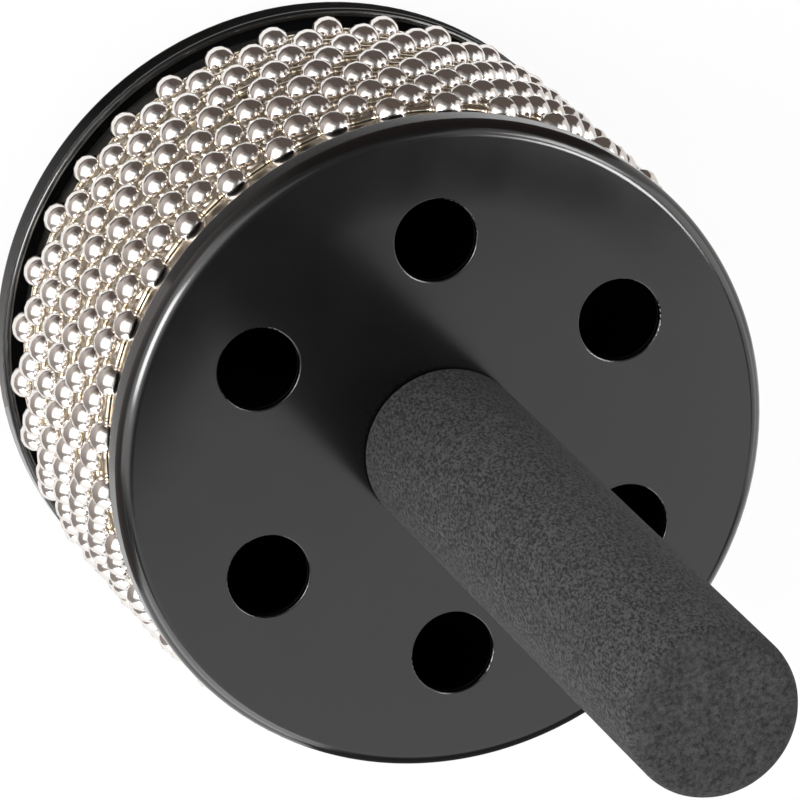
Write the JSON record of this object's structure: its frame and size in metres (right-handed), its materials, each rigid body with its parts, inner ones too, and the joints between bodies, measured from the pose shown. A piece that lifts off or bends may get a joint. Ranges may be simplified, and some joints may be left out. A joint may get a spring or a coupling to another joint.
{
  "type": "cabasa",
  "caption": "Hand percussion: loops of steel ball chain turning round a metal drum between two black discs, one of them vented, on a straight foam-covered handle.",
  "frame": {"origin": "centre of the rear disc's flat outer face, which the part stands on", "axes": "+Z along the instrument's axis from the rear disc towards the handle's free end; +X through the centre of one vent hole"},
  "size_m": [0.117, 0.117, 0.2222],
  "materials": {
    "black_coat": "satin black coat on pressed sheet steel",
    "drum_steel": "embossed stainless sheet",
    "zinc_steel": "zinc-plated steel",
    "bead_nickel": "polished nickel plate",
    "link_wire": "bright wire, slightly warm",
    "dowel_wood": "plain hardwood dowel",
    "insert_brass": "turned brass",
    "black_foam": "fine-celled matt black foam"
  },
  "bodies": {
    "head_and_handle": {"rear_disc": "black_coat", "front_disc": "black_coat", "drum_shell": "drum_steel", "rear_seat_ring": "black_coat", "front_seat_ring": "black_coat", "spacer_tube": "black_coat", "tie_rod": "zinc_steel", "rear_washer": "zinc_steel", "rear_nut": "zinc_steel", "front_washer": "zinc_steel", "handle_core": "dowel_wood", "handle_insert": "insert_brass", "foam_grip": "black_foam"},
    "chain_01": {"chain_01_beads": "bead_nickel", "chain_01_links": "link_wire"},
    "chain_02": {"chain_02_beads": "bead_nickel", "chain_02_links": "link_wire"},
    "chain_03": {"chain_03_beads": "bead_nickel", "chain_03_links": "link_wire"},
    "chain_04": {"chain_04_beads": "bead_nickel", "chain_04_links": "link_wire"},
    "chain_05": {"chain_05_beads": "bead_nickel", "chain_05_links": "link_wire"},
    "chain_06": {"chain_06_beads": "bead_nickel", "chain_06_links": "link_wire"},
    "chain_07": {"chain_07_beads": "bead_nickel", "chain_07_links": "link_wire"},
    "chain_08": {"chain_08_beads": "bead_nickel", "chain_08_links": "link_wire"},
    "chain_09": {"chain_09_beads": "bead_nickel", "chain_09_links": "link_wire"},
    "chain_10": {"chain_10_beads": "bead_nickel", "chain_10_links": "link_wire"}
  },
  "joints": [
    {"name": "chain_01_turn", "type": "hinge", "parent": "head_and_handle", "child": "chain_01", "pos_m": [0, 0, 0.0153], "axis": [0, 0, 1], "continuous": true},
    {"name": "chain_02_turn", "type": "hinge", "parent": "head_and_handle", "child": "chain_02", "pos_m": [0, 0, 0.0209], "axis": [0, 0, 1], "continuous": true},
    {"name": "chain_03_turn", "type": "hinge", "parent": "head_and_handle", "child": "chain_03", "pos_m": [0, 0, 0.0265], "axis": [0, 0, 1], "continuous": true},
    {"name": "chain_04_turn", "type": "hinge", "parent": "head_and_handle", "child": "chain_04", "pos_m": [0, 0, 0.0321], "axis": [0, 0, 1], "continuous": true},
    {"name": "chain_05_turn", "type": "hinge", "parent": "head_and_handle", "child": "chain_05", "pos_m": [0, 0, 0.0377], "axis": [0, 0, 1], "continuous": true},
    {"name": "chain_06_turn", "type": "hinge", "parent": "head_and_handle", "child": "chain_06", "pos_m": [0, 0, 0.0433], "axis": [0, 0, 1], "continuous": true},
    {"name": "chain_07_turn", "type": "hinge", "parent": "head_and_handle", "child": "chain_07", "pos_m": [0, 0, 0.0489], "axis": [0, 0, 1], "continuous": true},
    {"name": "chain_08_turn", "type": "hinge", "parent": "head_and_handle", "child": "chain_08", "pos_m": [0, 0, 0.0545], "axis": [0, 0, 1], "continuous": true},
    {"name": "chain_09_turn", "type": "hinge", "parent": "head_and_handle", "child": "chain_09", "pos_m": [0, 0, 0.0601], "axis": [0, 0, 1], "continuous": true},
    {"name": "chain_10_turn", "type": "hinge", "parent": "head_and_handle", "child": "chain_10", "pos_m": [0, 0, 0.0657], "axis": [0, 0, 1], "continuous": true}
  ],
  "couplings": [
    {"joint": "chain_02_turn", "follows": "chain_01_turn", "ratio": 1},
    {"joint": "chain_03_turn", "follows": "chain_01_turn", "ratio": 1},
    {"joint": "chain_04_turn", "follows": "chain_01_turn", "ratio": 1},
    {"joint": "chain_05_turn", "follows": "chain_01_turn", "ratio": 1},
    {"joint": "chain_06_turn", "follows": "chain_01_turn", "ratio": 1},
    {"joint": "chain_07_turn", "follows": "chain_01_turn", "ratio": 1},
    {"joint": "chain_08_turn", "follows": "chain_01_turn", "ratio": 1},
    {"joint": "chain_09_turn", "follows": "chain_01_turn", "ratio": 1},
    {"joint": "chain_10_turn", "follows": "chain_01_turn", "ratio": 1}
  ]
}
